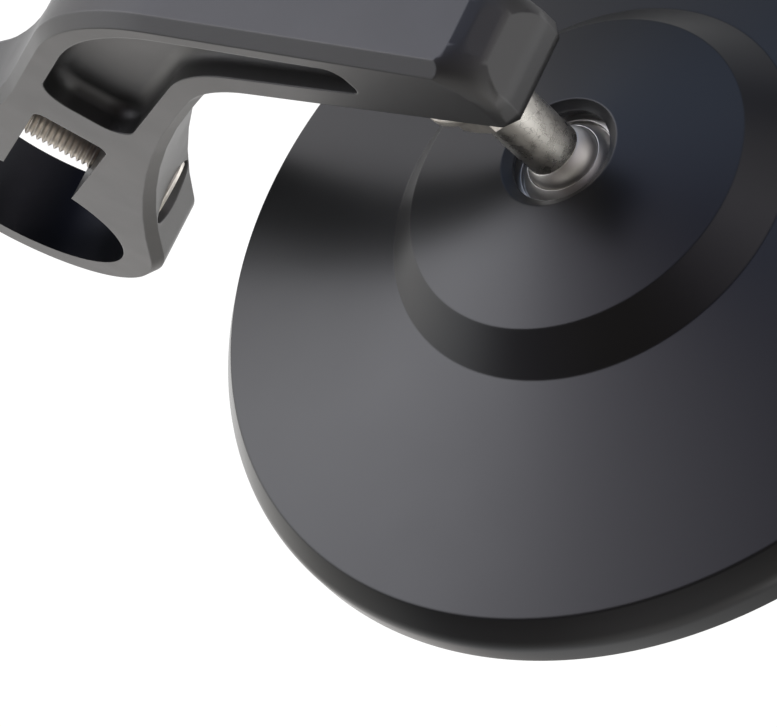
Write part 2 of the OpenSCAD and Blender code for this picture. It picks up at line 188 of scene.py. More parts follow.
# %% [markdown]
# ## World
# Each field is full inside a small angle from its own direction and fades to nothing at a wider
# one. A dot product gives the cosine of the angle, and a smooth map range makes the fade.
# The camera itself sees plain white instead, so the background needs no light of its own.

# %% Sum the fields in the world
world = bpy.data.worlds.new("studio")
bpy.context.scene.world = world
world.use_nodes = True
world_nodes, world_links = world.node_tree.nodes, world.node_tree.links
world_nodes.clear()

full_angle, end_angle = math.radians(2), math.radians(34)
coordinates = world_nodes.new("ShaderNodeTexCoord")
total = None
for right, up, back, red, green, blue in fields:
    dot = world_nodes.new("ShaderNodeVectorMath")
    dot.operation = "DOT_PRODUCT"
    dot.inputs[1].default_value = studio_direction(right, up, back)
    world_links.new(coordinates.outputs["Generated"], dot.inputs[0])
    fade = world_nodes.new("ShaderNodeMapRange")
    fade.interpolation_type = "SMOOTHERSTEP"
    fade.inputs["From Min"].default_value = math.cos(end_angle)
    fade.inputs["From Max"].default_value = math.cos(full_angle)
    world_links.new(dot.outputs["Value"], fade.inputs["Value"])
    tinted = world_nodes.new("ShaderNodeVectorMath")
    tinted.operation = "SCALE"
    tinted.inputs[0].default_value = (red, green, blue)
    world_links.new(fade.outputs["Result"], tinted.inputs["Scale"])
    if total is None:
        total = tinted.outputs["Vector"]
        continue
    both = world_nodes.new("ShaderNodeVectorMath")
    both.operation = "ADD"
    world_links.new(total, both.inputs[0])
    world_links.new(tinted.outputs["Vector"], both.inputs[1])
    total = both.outputs["Vector"]
studio_light = world_nodes.new("ShaderNodeBackground")
world_links.new(total, studio_light.inputs["Color"])
white_background = world_nodes.new("ShaderNodeBackground")
white_background.inputs["Color"].default_value = (1, 1, 1, 1)
white_background.inputs["Strength"].default_value = 1.0
seen_by = world_nodes.new("ShaderNodeLightPath")
choose = world_nodes.new("ShaderNodeMixShader")
world_out = world_nodes.new("ShaderNodeOutputWorld")
world_links.new(seen_by.outputs["Is Camera Ray"], choose.inputs["Fac"])
world_links.new(studio_light.outputs["Background"], choose.inputs[1])
world_links.new(white_background.outputs["Background"], choose.inputs[2])
world_links.new(choose.outputs["Shader"], world_out.inputs["Surface"])
print("world nodes:", len(world_nodes))

# %% [markdown]
# ## Floor
# The part clamps on a bar, which isn't here, so the floor lies well below it. A shadow catcher
# would need the film to be clear, so this floor is a plain sheet: it glows white for the camera
# and keeps a faint shadow. All other rays pass through it, so metal still reflects the studio.

# %% Make the floor
floor_drop = 260 * MM
floor_half = 4000 * MM
floor_mesh = bpy.data.meshes.new("floor")
floor_mesh.from_pydata(
    [(x * floor_half, y * floor_half, 0) for x, y in ((-1, -1), (1, -1), (1, 1), (-1, 1))],
    [],
    [(0, 1, 2, 3)],
)
floor = bpy.data.objects.new("floor", floor_mesh)
floor.location = (0, 0, cad_low.z - floor_drop)
bpy.context.scene.collection.objects.link(floor)
print("floor height in mm:", round(floor.location.z / MM))

# %% Paint the floor
floor_paint = bpy.data.materials.new("floor_paint")
floor_paint.use_nodes = True
floor_nodes, floor_links = floor_paint.node_tree.nodes, floor_paint.node_tree.links
floor_nodes.clear()
floor_diffuse = floor_nodes.new("ShaderNodeBsdfDiffuse")
floor_diffuse.inputs["Color"].default_value = (0.10, 0.10, 0.10, 1)
floor_glow = floor_nodes.new("ShaderNodeEmission")
floor_glow.inputs["Strength"].default_value = 0.99
floor_both = floor_nodes.new("ShaderNodeAddShader")
floor_clear = floor_nodes.new("ShaderNodeBsdfTransparent")
floor_seen = floor_nodes.new("ShaderNodeLightPath")
floor_mix = floor_nodes.new("ShaderNodeMixShader")
floor_out = floor_nodes.new("ShaderNodeOutputMaterial")
floor_links.new(floor_diffuse.outputs[0], floor_both.inputs[0])
floor_links.new(floor_glow.outputs[0], floor_both.inputs[1])
floor_links.new(floor_seen.outputs["Is Camera Ray"], floor_mix.inputs["Fac"])
floor_links.new(floor_clear.outputs[0], floor_mix.inputs[1])
floor_links.new(floor_both.outputs[0], floor_mix.inputs[2])
floor_links.new(floor_mix.outputs[0], floor_out.inputs["Surface"])
floor_mesh.materials.append(floor_paint)
print("floor paint nodes:", len(floor_nodes))

# %% [markdown]
# ## How a finish is made
# Every finish here is one Principled shader with small noise in its roughness and its bump.
# Image textures could hold the same detail, but they need unwrapping and have a fixed size.
# Noise on Object coordinates keeps its grain in millimetres at any distance. A Bevel node
# rounds the sharp edges for the light alone, as a tumbling drum does on the real part.

# %% A helper for materials
noise_low, noise_high = 0.3, 0.7


class Finish:
    """A material with its Principled shader, and short ways to add noise to it."""

    def __init__(self, name, colour, metallic, roughness):
        self.material = bpy.data.materials.new(name)
        self.material.use_nodes = True
        self.nodes = self.material.node_tree.nodes
        self.links = self.material.node_tree.links
        self.shader = self.nodes["Principled BSDF"]
        self.shader.inputs["Base Color"].default_value = (*colour, 1)
        self.shader.inputs["Metallic"].default_value = metallic
        self.shader.inputs["Roughness"].default_value = roughness
        self.colour = colour
        self.normal = None

    def place(self, stretch=(1, 1, 1)):
        """Object coordinates in millimetres, stretched along the three axes."""
        where = self.nodes.new("ShaderNodeTexCoord")
        scale = self.nodes.new("ShaderNodeVectorMath")
        scale.operation = "MULTIPLY"
        scale.inputs[1].default_value = [s / MM for s in stretch]
        self.links.new(where.outputs["Object"], scale.inputs[0])
        return scale.outputs["Vector"]

    def noise(self, per_mm, detail, stretch=(1, 1, 1)):
        """Noise with so many grains in a millimetre."""
        field = self.nodes.new("ShaderNodeTexNoise")
        field.inputs["Scale"].default_value = per_mm
        field.inputs["Detail"].default_value = detail
        self.links.new(self.place(stretch), field.inputs["Vector"])
        return field.outputs["Fac"]

    def spread(self, value, low, high, start=noise_low, end=noise_high):
        """Maps a noise, which keeps between start and end, to the range from low to high."""
        remap = self.nodes.new("ShaderNodeMapRange")
        remap.inputs["From Min"].default_value = start
        remap.inputs["From Max"].default_value = end
        remap.inputs["To Min"].default_value = low
        remap.inputs["To Max"].default_value = high
        self.links.new(value, remap.inputs["Value"])
        return remap.outputs["Result"]

    def vary_roughness(self, value, low, high):
        """Lets the gloss wander between two values."""
        self.links.new(self.spread(value, low, high), self.shader.inputs["Roughness"])

    def round_edges(self, radius_mm):
        """Rounds sharp edges for the light."""
        edge = self.nodes.new("ShaderNodeBevel")
        edge.samples = 6
        edge.inputs["Radius"].default_value = radius_mm * MM
        self.normal = edge.outputs["Normal"]
        self.links.new(self.normal, self.shader.inputs["Normal"])

    def bump(self, value, height_mm):
        """Adds a bump on top of what already bends the normal."""
        relief = self.nodes.new("ShaderNodeBump")
        relief.inputs["Distance"].default_value = height_mm * MM
        self.links.new(value, relief.inputs["Height"])
        if self.normal is not None:
            self.links.new(self.normal, relief.inputs["Normal"])
        self.normal = relief.outputs["Normal"]
        self.links.new(self.normal, self.shader.inputs["Normal"])

    def tint(self, value, other):
        """Mixes the base colour towards another colour by a noise."""
        ramp = self.nodes.new("ShaderNodeMix")
        ramp.data_type = "RGBA"
        ramp.inputs["A"].default_value = (*self.colour, 1)
        ramp.inputs["B"].default_value = (*other, 1)
        self.links.new(self.spread(value, 0, 1), ramp.inputs["Factor"])
        self.links.new(ramp.outputs["Result"], self.shader.inputs["Base Color"])

    def scratch(self, per_mm, width, dark):
        """Fine dark lines along the borders of bent cells, shown only in patches."""
        bend_per_mm, patch_per_mm = 1.6, 0.45
        patch_strength, patch_start, patch_end = 0.85, 0.42, 0.56
        cells = self.nodes.new("ShaderNodeTexVoronoi")
        cells.feature = "DISTANCE_TO_EDGE"
        cells.inputs["Scale"].default_value = per_mm
        bend = self.nodes.new("ShaderNodeVectorMath")
        bend.operation = "ADD"
        wobble = self.nodes.new("ShaderNodeTexNoise")
        wobble.inputs["Scale"].default_value = bend_per_mm
        self.links.new(self.place(), wobble.inputs["Vector"])
        self.links.new(self.place(), bend.inputs[0])
        self.links.new(wobble.outputs["Color"], bend.inputs[1])
        self.links.new(bend.outputs["Vector"], cells.inputs["Vector"])
        line = self.spread(cells.outputs["Distance"], 1, 0, 0, width)
        broken = self.nodes.new("ShaderNodeMath")
        broken.operation = "MULTIPLY"
        self.links.new(line, broken.inputs[0])
        patches = self.spread(
            self.noise(patch_per_mm, 2.0), 0, patch_strength, patch_start, patch_end
        )
        self.links.new(patches, broken.inputs[1])
        mix = self.nodes.new("ShaderNodeMix")
        mix.data_type = "RGBA"
        under = self.shader.inputs["Base Color"].links[0].from_socket
        self.links.new(under, mix.inputs["A"])
        mix.inputs["B"].default_value = (*dark, 1)
        self.links.new(broken.outputs["Value"], mix.inputs["Factor"])
        self.links.new(mix.outputs["Result"], self.shader.inputs["Base Color"])


print("a finish can:", [tool for tool in vars(Finish) if not tool.startswith("_")])

# %% [markdown]
# ## Black finishes
# The arm is milled aluminium, blasted with glass beads and anodised black. The blasting leaves
# fine pits, so it reflects as a soft grey. Displaced pits would cost millions of faces, so a
# bump of a hundredth of a millimetre and a rough gloss stand for them.

# %% The arm's blasted finish
blasted = Finish("blasted_black", (0.098, 0.098, 0.101), 0.85, 0.42)
blasted.round_edges(0.28)
blasted.bump(blasted.noise(7.0, 3.0), 0.010)
blasted.vary_roughness(blasted.noise(0.2, 2.0), 0.41, 0.44)
blasted.tint(blasted.noise(0.05, 3.0), (0.106, 0.105, 0.106))
print(blasted.material.name, "has", len(blasted.nodes), "nodes")

# %% [markdown]
# The bore is masked while the arm is blasted, so it stays smooth. Its nearly black colour is
# painted shade inside the bore. It could be a mask inside the arm's own material, but a second
# finish on its faces is easier to follow.

# %% The bore's finish: smooth, and darkened with painted shade
# The dark base colour is painted shade for the inside of the bore; the lower roughness is its
# smooth surface.
bore_shade = Finish("bore_painted_shade", (0.026, 0.027, 0.032), 0.85, 0.34)
bore_shade.vary_roughness(bore_shade.noise(0.3, 3.0), 0.30, 0.38)
bore_shade.bump(bore_shade.noise(4.0, 2.0, (1, 0.2, 1)), 0.003)
print(bore_shade.material.name, "has", len(bore_shade.nodes), "nodes")

# %% [markdown]
# The housing is turned and anodised without blasting. It is smoother than the arm, and its last
# tool pass leaves very fine rings round the axis. A noise that reads only the distance from the
# axis and the height makes rings on every turned face, whatever its slope.

# %% The housing's turned finish
turned = Finish("turned_black", (0.062, 0.0625, 0.0650), 0.85, 0.30)
turned.round_edges(0.25)
turned.vary_roughness(turned.noise(0.06, 2.0), 0.29, 0.33)
turned.tint(turned.noise(0.03, 2.0), (0.064, 0.0645, 0.067))


def rings_per_mm(finish, count):
    """Fine rings round the object's own Z axis, as a lathe leaves them."""
    where = finish.place()
    split = finish.nodes.new("ShaderNodeSeparateXYZ")
    finish.links.new(where, split.inputs[0])
    flat = finish.nodes.new("ShaderNodeCombineXYZ")
    finish.links.new(split.outputs["X"], flat.inputs["X"])
    finish.links.new(split.outputs["Y"], flat.inputs["Y"])
    length = finish.nodes.new("ShaderNodeVectorMath")
    length.operation = "LENGTH"
    finish.links.new(flat.outputs[0], length.inputs[0])
    turn = finish.nodes.new("ShaderNodeCombineXYZ")
    finish.links.new(length.outputs["Value"], turn.inputs["X"])
    finish.links.new(split.outputs["Z"], turn.inputs["Y"])
    field = finish.nodes.new("ShaderNodeTexNoise")
    field.inputs["Scale"].default_value = count
    field.inputs["Detail"].default_value = 2.0
    finish.links.new(turn.outputs[0], field.inputs["Vector"])
    return field.outputs["Fac"]


turned.bump(rings_per_mm(turned, 2.5), 0.0010)
print(turned.material.name, "has", len(turned.nodes), "nodes")

# %% [markdown]
# ## Bright metals
# The screw, washer, nut and stud are stainless steel. The stud's neck is ground, and handling has
# left fine scratches on it. The ball has a satin polish, so that it turns smoothly in its seat.
# One metal with four sets of numbers would do, but each piece is made in its own way and wears
# in its own way, so each has its own finish.

# %% Steels
ground = Finish("ground_steel", (0.86, 0.83, 0.78), 1.0, 0.28)
ground.vary_roughness(ground.noise(0.8, 3.0), 0.24, 0.34)
ground.bump(rings_per_mm(ground, 4.0), 0.0015)
ground.tint(ground.noise(0.5, 4.0), (0.78, 0.75, 0.70))
ground.scratch(1.1, 0.028, (0.30, 0.28, 0.26))

polished = Finish("polished_steel", (0.86, 0.84, 0.80), 1.0, 0.30)
polished.vary_roughness(polished.noise(0.6, 3.0), 0.40, 0.50)

stainless = Finish("stainless", (0.84, 0.79, 0.73), 1.0, 0.34)
stainless.round_edges(0.12)
stainless.vary_roughness(stainless.noise(1.2, 3.0), 0.32, 0.44)
stainless.bump(stainless.noise(6.0, 3.0), 0.006)
stainless.tint(stainless.noise(0.9, 4.0), (0.64, 0.60, 0.55))

spring_steel = Finish("spring_steel", (0.66, 0.65, 0.63), 1.0, 0.22)
spring_steel.vary_roughness(spring_steel.noise(2.0, 2.0), 0.34, 0.46)

plain_aluminium = Finish("plain_aluminium", (0.60, 0.60, 0.61), 1.0, 0.32)
plain_aluminium.vary_roughness(plain_aluminium.noise(1.5, 2.0), 0.26, 0.40)
plain_aluminium.bump(rings_per_mm(plain_aluminium, 6.0), 0.004)
bright = (ground, polished, stainless, spring_steel, plain_aluminium)
print("bright metals:", [finish.material.name for finish in bright])

# %% [markdown]
# ## Plastic, foam, seal and glass
# The cup behind the ball is moulded nylon, and the glass rests on foam with a soft seal round its
# edge. The mirror's silver lies behind a thin sheet of glass. A glass layer over a metal one would
# be truer but shows no more, so one metal finish that is almost without roughness does for both.

# %% Plastic, foam, seal and glass
nylon = Finish("filled_nylon", (0.035, 0.035, 0.038), 0.0, 0.55)
nylon.vary_roughness(nylon.noise(3.0, 2.0), 0.5, 0.65)

foam = Finish("black_foam", (0.03, 0.03, 0.03), 0.0, 0.9)
foam.bump(foam.noise(3.0, 3.0), 0.08)

sealant = Finish("black_sealant", (0.015, 0.015, 0.015), 0.0, 0.35)
sealant.bump(sealant.noise(0.8, 2.0), 0.03)

silvered = Finish("silvered_glass", (0.86, 0.88, 0.89), 1.0, 0.015)
silvered.vary_roughness(silvered.noise(0.02, 2.0), 0.010, 0.022)
print("soft and clear:", [finish.material.name for finish in (nylon, foam, sealant, silvered)])

# %% [markdown]
# ## Turned parts
# A lathe makes the housing, the stud, the washer and the rings, so a revolved profile is the
# honest way to model them. A Screw modifier could sweep a curve, but plain points are easier to
# measure. The profile is a short list of corners, each with its own radius. One helper rounds
# the corners, and a second one sweeps the profile round the axis.

# %% Round a profile's corners
corner_steps = 5


def rounded_profile(corners):
    """Corners (r, z, radius) in mm, joined by arcs where the radius is above zero."""
    points = []
    count = len(corners)
    for i, (r, z, radius) in enumerate(corners):
        here = Vector((r, z))
        before = Vector(corners[i - 1][:2])
        after = Vector(corners[(i + 1) % count][:2])
        one, two = (before - here), (after - here)
        if radius <= 0 or one.length < 1e-6 or two.length < 1e-6:
            points.append(here)
            continue
        one_way, two_way = one.normalized(), two.normalized()
        angle = one_way.angle(two_way)
        longest = 0.48 * min(one.length, two.length)
        reach = min(radius / math.tan(angle / 2), longest)
        for k in range(corner_steps + 1):
            t = k / corner_steps
            a, b = here + one_way * reach, here + two_way * reach
            points.append(a * (1 - t) ** 2 + here * 2 * t * (1 - t) + b * t**2)
    return points


square = [(0, 0, 1), (9, 0, 1), (9, 9, 1), (0, 9, 1)]
print("a rounded square has", len(rounded_profile(square)), "points")

# %% Make an object from a mesh


def smooth(thing, angle):
    """Smooth shading, with edges sharper than the angle kept sharp."""
    bpy.ops.object.select_all(action="DESELECT")
    thing.select_set(True)
    bpy.context.view_layer.objects.active = thing
    bpy.ops.object.shade_smooth_by_angle(angle=math.radians(angle))


def finished(name, mesh, place, smooth_angle=35):
    """Turns a bmesh into an object with smooth shading up to an angle."""
    data = bpy.data.meshes.new(name)
    mesh.to_mesh(data)
    mesh.free()
    thing = bpy.data.objects.new(name, data)
    thing.matrix_world = place
    bpy.context.scene.collection.objects.link(thing)
    smooth(thing, smooth_angle)
    return thing


# %% Sweep a profile


def turned_part(name, corners, place, segments):
    """Revolves a closed profile round Z. A corner on the axis becomes a single point."""
    mesh = bmesh.new()
    rings = []
    for point in rounded_profile(corners):
        if point.x < 1e-6:
            rings.append([mesh.verts.new((0, 0, point.y * MM))])
            continue
        ring = []
        for k in range(segments):
            a = 2 * math.pi * k / segments
            corner = (point.x * MM * math.cos(a), point.x * MM * math.sin(a), point.y * MM)
            ring.append(mesh.verts.new(corner))
        rings.append(ring)
    for first, second in zip(rings, rings[1:] + rings[:1]):
        if len(first) == 1 and len(second) == 1:
            continue
        for k in range(segments):
            n = (k + 1) % segments
            if len(first) == 1:
                mesh.faces.new((first[0], second[n], second[k]))
            elif len(second) == 1:
                mesh.faces.new((first[k], first[n], second[0]))
            else:
                mesh.faces.new((first[k], first[n], second[n], second[k]))
    bmesh.ops.recalc_face_normals(mesh, faces=mesh.faces)
    return finished(name, mesh, place)


# %% [markdown]
# ## Taking a solid's place
# The frame says which body each piece rides on and which node it is. A fine mesh takes over all
# of that in one step: its finishes, its body and the node whose place it takes. One helper keeps
# the order the same for every piece.

# %% Dress a piece


def dress(thing, node, body, slot, *finishes):
    """Puts a piece in the place of a CAD node, on its body, with its finish."""
    thing.data.materials.clear()
    for finish in finishes:
        thing.data.materials.append(finish.material)
    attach(thing, body)
    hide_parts(node)
    print(f"{thing.name}: {len(thing.data.polygons)} faces stand for {node}")


# %% [markdown]
# ## Housing
# The back is a shallow cone with a raised boss in its middle. The boss's face falls gently, then
# drops over a bevel to the cone, and the cone ends in a round shoulder. The solid has all of
# this, but in flat steps that would show as bands in such a dark, glossy face. It is turned again
# with 288 steps. All depths count from the ball's centre, along the mirror's axis.

# %% The housing's sizes in mm
ball_r = 4.0
neck_r = 3.0
mouth_r, mouth_z = 6.5, -2.3
throat_r = 5.45
boss_top_r, bevel_z = 18.8, 1.1
boss_foot_r, foot_z = 22.7, 4.6
back_r, edge_z = 46.2, 9.9
rim_r, rim_z = 48.2, 15.3
recess_r = 47.1
glass_t = 1.8
seal_t = 0.35
seat_r, seat_z = 6.4, -0.3
plug_r, plug_z = 7.1, 7.2
glass_back_z = rim_z - 0.6 - glass_t - 0.9
ledge_z = glass_back_z - 0.7
ledge_r = recess_r - 4.2
hub_r, hub_z = 13.0, ledge_z + 0.2
cone_slope = 0.225
shell_wall = 2.2
throat_z, lip_end_z = mouth_z + 0.65, mouth_z + 0.95
undercut_r = throat_r + 0.5
print("glass sits at", round(glass_back_z, 2), "mm in front of the ball")

# %% Turn the housing
housing = turned_part(
    "housing",
    [
        (throat_r, throat_z, 0.08),
        (mouth_r, mouth_z, 0.12),
        (boss_top_r, bevel_z, 0.22),
        (boss_foot_r, foot_z, 0.35),
        (back_r, edge_z, 0.5),
        (rim_r, edge_z + 2.6, 2.2),
        (rim_r, rim_z, 0.3),
        (recess_r, rim_z, 0.1),
        (recess_r, ledge_z, 0.1),
        (ledge_r, ledge_z, 0.2),
        (ledge_r - 0.6, edge_z - (back_r - ledge_r) * cone_slope + shell_wall, 0.5),
        (boss_foot_r - 2, foot_z + 3.0, 1.0),
        (hub_r, foot_z + 3.6, 1.0),
        (hub_r, hub_z, 0.2),
        (plug_r, hub_z, 0.2),
        (plug_r, plug_z, 0.05),
        (seat_r, plug_z, 0.05),
        (seat_r, seat_z, 0.05),
        (undercut_r, seat_z, 0.05),
        (undercut_r, lip_end_z, 0.05),
        (throat_r, lip_end_z, 0.05),
    ],
    mirror_frame,
    segments=288,
)
dress(housing, "mirror_housing", "mirror_body", "satin_anodised", turned)

# %% [markdown]
# ## Ball stud
# The stud is turned from one bar: a thread that the arm and the nut hide, a ground neck and a
# polished ball. A ball and a cylinder joined by a boolean would leave a ragged seam. One profile
# lets the neck run straight into the ball, with a fine step where the grinding stops.

# %% Turn the ball stud
seat_x = -17.2
washer_t, nut_h = 1.2, 4.0
stud_grip = 6.5
thread_r, point = 2.5, 0.5
thread_end = seat_x - stud_grip
neck_start = seat_x + washer_t + nut_h
neck_end = -math.sqrt(ball_r**2 - neck_r**2) + 0.02
ball_arc = [
    (ball_r * math.sin(math.radians(a)), -ball_r * math.cos(math.radians(a)), 0)
    for a in range(50, 180, 4)  # from the neck to just before the far end
]
stud = turned_part(
    "turned_stud",
    [
        (0, thread_end, 0),
        (thread_r - point, thread_end, 0),
        (thread_r, thread_end + point, 0),
        (thread_r, neck_start, 0),
        (neck_r - 0.3, neck_start, 0),
        (neck_r, neck_start + 0.3, 0.1),
        (neck_r, neck_end - 0.12, 0),
        (neck_r - 0.09, neck_end - 0.06, 0),
        (neck_r + 0.01, neck_end, 0),
    ]
    + ball_arc
    + [(0, ball_r, 0)],
    stud_frame,
    segments=96,
)
dress(stud, "ball_stud", "stud_body", "ground_stainless", ground, polished)
for face in stud.data.polygons:
    face.material_index = 1 if face.center.z > (neck_end - 0.05) * MM else 0
print("stud length in mm:", round(ball_r - thread_end, 1))

# %% [markdown]
# The washer spreads the nut's load on the soft aluminium. Only a sliver of its edge shows under
# the nose, so it needs nothing but a profile with rounded edges.

# %% Turn the washer
washer_r, washer_hole_r = 5.9, 2.65
washer = turned_part(
    "washer",
    [
        (washer_hole_r, seat_x, 0),
        (washer_r, seat_x, 0.25),
        (washer_r, seat_x + washer_t, 0.3),
        (washer_hole_r, seat_x + washer_t, 0.1),
    ],
    stud_frame,
    segments=128,
)
dress(washer, "stud_washer", "stud_body", "stainless_washer", stainless)

# %% [markdown]
# ## Jam nut
# A nut is a hexagonal bar with both faces turned to a 30 degree cone. The cone cuts the six
# corners in bright arcs. A bevel modifier would round the corners evenly and miss those arcs, so
# the same cut as on the lathe makes them here: a fine cone shape intersects a hexagon.

# %% Helpers for cut pieces


def cut(thing, tool, operation):
    """Applies one exact boolean and removes the tool."""
    modifier = thing.modifiers.new("cut", "BOOLEAN")
    modifier.operation = operation
    modifier.solver = "EXACT"
    modifier.object = tool
    bpy.context.view_layer.objects.active = thing
    bpy.ops.object.modifier_apply(modifier=modifier.name)
    bpy.data.objects.remove(tool)


def hexagon(name, across_flats, low, high, place):
    """A plain hexagonal prism between two heights, all in mm."""
    mesh = bmesh.new()
    corner = across_flats / 2 / math.cos(math.radians(30))
    ends = []
    for z in (low, high):
        ring = []
        for k in range(6):
            a = math.radians(60 * k)
            point = Vector((corner * math.cos(a), corner * math.sin(a), z)) * MM
            ring.append(mesh.verts.new(point))
        ends.append(ring)
    for k in range(6):
        n = (k + 1) % 6
        mesh.faces.new((ends[0][k], ends[0][n], ends[1][n], ends[1][k]))
    mesh.faces.new(list(reversed(ends[0])))
    mesh.faces.new(ends[1])
    return finished(name, mesh, place, 20)


# %% Cut the nut
nut_af, nut_hole_r, nut_sink_r = 8.0, 2.53, 2.9
nut_x = seat_x + washer_t
nut_cone_r = nut_af / 2 * 0.98
nut_spread = nut_h * math.tan(math.radians(60))
nut = turned_part(
    "hex_nut",
    [
        (nut_hole_r, nut_x, 0.0),
        (nut_cone_r, nut_x, 0.0),
        (nut_cone_r + nut_spread / 2, nut_x + nut_h / 2, 0.0),
        (nut_cone_r, nut_x + nut_h, 0.0),
        (nut_sink_r, nut_x + nut_h, 0.0),
        (nut_hole_r, nut_x + nut_h - 0.35, 0.0),
    ],
    stud_frame,
    segments=144,
)
cut(nut, hexagon("nut_bar", nut_af, nut_x - 1, nut_x + nut_h + 1, stud_frame), "INTERSECT")
smooth(nut, 20)
dress(nut, "jam_nut", "stud_body", "stainless_nut", stainless)

# %% [markdown]
# ## Clamp screw
# The screw crosses the keyhole slot, where its thread can be seen. A bump would draw the thread
# but leave its outline straight against the white slot, so the thread is real: rows of points
# whose radius follows a groove that climbs one pitch a turn. The head hides in a counterbore.

# %% Place the screw
leg_lean = math.radians(30)
leg_out = Vector((-math.sin(leg_lean), 0, math.cos(leg_lean)))
leg_across = Vector((math.cos(leg_lean), 0, math.sin(leg_lean)))
screw_out, jaw_seat, screw_len = 18.5, 10.05, 20.0
screw_r, pitch, groove = 2.5, 0.8, 0.46
head_r, head_h, socket_af = 4.25, 5.0, 4.0
head_edge, head_chamfer = 0.15, 0.4
screw_tip, head_top = jaw_seat - screw_len, jaw_seat + head_h
screw_frame = frame_along(leg_across, leg_out * screw_out * MM)
print("the screw leans", round(math.degrees(leg_lean)), "degrees with the leg")

# %% Cut the screw
flank_steepness, crest_start = 1.35, 0.12
tip_fade, tip_taper = 0.7, 0.5


def thread_radius(height, angle):
    """The thread's radius at a height, with flat crests, sloped flanks and a tapered tip."""
    phase = (height / pitch - angle / (2 * math.pi)) % 1
    valley = min(1, max(0, abs(phase - 0.5) / 0.5 * flank_steepness - crest_start))
    ends = min(1, (height - screw_tip) / tip_fade)
    return (screw_r - groove * (1 - valley)) - tip_taper * (1 - max(0, ends))


def screw_mesh():
    """Thread and head in one closed mesh."""
    mesh = bmesh.new()
    around, per_pitch = 56, 12
    steps = int(screw_len / pitch * per_pitch)
    rows = []
    for i in range(steps + 1):
        z = screw_tip + screw_len * i / steps
        row = []
        for k in range(around):
            a = 2 * math.pi * k / around
            r = thread_radius(z, a) if i < steps else screw_r
            row.append((r * math.cos(a), r * math.sin(a), z))
        rows.append(row)
    head_profile = (
        (head_r - head_edge, jaw_seat),
        (head_r, jaw_seat + head_edge),
        (head_r, head_top - head_chamfer),
        (head_r - head_chamfer, head_top),
    )
    turn = [2 * math.pi * k / around for k in range(around)]
    for r, z in head_profile:
        rows.append([(r * math.cos(a), r * math.sin(a), z) for a in turn])
    made = [[mesh.verts.new(Vector(p) * MM) for p in row] for row in rows]
    for low, high in zip(made, made[1:]):
        for k in range(around):
            n = (k + 1) % around
            mesh.faces.new((low[k], low[n], high[n], high[k]))
    mesh.faces.new(list(reversed(made[0])))
    mesh.faces.new(made[-1])
    return mesh


screw = finished("socket_screw", screw_mesh(), screw_frame, 40)
socket_deep = 2.5
socket = hexagon("screw_socket", socket_af, head_top - socket_deep, head_top + 1, screw_frame)
cut(screw, socket, "DIFFERENCE")
smooth(screw, 40)
dress(screw, "clamp_screw", "arm_body", "stainless_screw", stainless)

# %% [markdown]
# ## Ring in the hole
# A flat ring lies round the ball, at the bottom of the countersunk hole. Only its inner edge
# catches the light, so that edge gets a small radius and the hidden ones stay plain.

# %% Turn the ring
ring_in_r, ring_out_r, ring_half_t = throat_r - 0.3, seat_r - 0.02, 0.3
ring = turned_part(
    "snap_ring",
    [
        (ring_in_r, -ring_half_t, 0.08),
        (ring_out_r, -ring_half_t, 0),
        (ring_out_r, ring_half_t, 0),
        (ring_in_r, ring_half_t, 0.08),
    ],
    mirror_frame,
    segments=128,
)
dress(ring, "retaining_ring", "mirror_body", "spring_steel", spring_steel)

# %% [markdown]
# ## Seat round the ball
# The photograph shows a bright conical collar between the ball and the hole's edge. The frame has
# a plain plastic seat at that place. This piece keeps the seat's socket and flange, and its front
# slopes like the collar. It wears satin steel, so it names no material slot of the record.

# %% Turn the seat
flange_z, flange_t, lip_z = 0.35, 0.9, -1.15
cone_foot_r, cone_foot_z = throat_r - 0.5, 0.05
seat_ball_r = ball_r + 0.05
seat_arc = [
    (seat_ball_r * math.cos(math.radians(a)), seat_ball_r * math.sin(math.radians(a)), 0)
    for a in range(20, -16, -3)
]
seat = turned_part(
    "ball_seat",
    seat_arc
    + [
        (seat_ball_r - 0.12, lip_z, 0.03),
        (seat_ball_r - 0.05, lip_z, 0.03),
        (cone_foot_r, cone_foot_z, 0.1),
        (throat_r - 0.4, flange_z, 0),
        (seat_r - 0.05, flange_z, 0),
        (seat_r - 0.05, flange_z + flange_t, 0),
    ],
    mirror_frame,
    segments=128,
)
dress(seat, "front_seat", "socket_body", None, polished)

# %% [markdown]
# ## Mirror glass
# The glass is bent to a part of a large sphere, which widens the view. A flat disc would reflect
# the studio as one even tone, and the bend is what tells it from a plate. Both faces are caps
# round one centre, and 256 steps keep its edge as round as the rim.

# %% Bend the glass
glass_gap = 0.05
glass_r = recess_r - seal_t - glass_gap
glass_curve_r = 1200.0


def cap_points(radius, steps=24):
    """Half of a shallow spherical cap, from the middle out to the glass's edge."""
    edge = math.asin(glass_r / glass_curve_r)
    middle = glass_back_z - (glass_curve_r - glass_t) * math.cos(edge)
    angles = [edge * k / steps for k in range(steps + 1)]
    return [(radius * math.sin(a), middle + radius * math.cos(a), 0) for a in angles]


glass = turned_part(
    "convex_glass",
    cap_points(glass_curve_r - glass_t) + list(reversed(cap_points(glass_curve_r))),
    mirror_frame,
    segments=256,
)
dress(glass, "mirror_glass", "mirror_body", "silvered_glass", silvered)

# %% [markdown]
# The seal fills the gap between the glass and the rim. It is a bead of sealant that was wiped
# with a finger, so its front slopes down to the glass. A profile of four corners is enough.

# %% Run the seal round the glass
seal_out_r = recess_r - 0.02
seal = turned_part(
    "edge_seal",
    [
        (glass_r + glass_gap, glass_back_z, 0),
        (seal_out_r, glass_back_z, 0),
        (seal_out_r, rim_z - 0.35, 0.1),
        (glass_r + glass_gap, rim_z - 0.6, 0.05),
    ],
    mirror_frame,
    segments=256,
)
dress(seal, "glass_seal", "mirror_body", "black_sealant", sealant)

# %% [markdown]
# ## Arm
# The frame's arm already has the right form, but its triangles are shaded flat. Modelling it
# again would only risk another form. A copy with its points merged and its flat faces joined can
# be shaded smoothly, and its edges stay crisp.

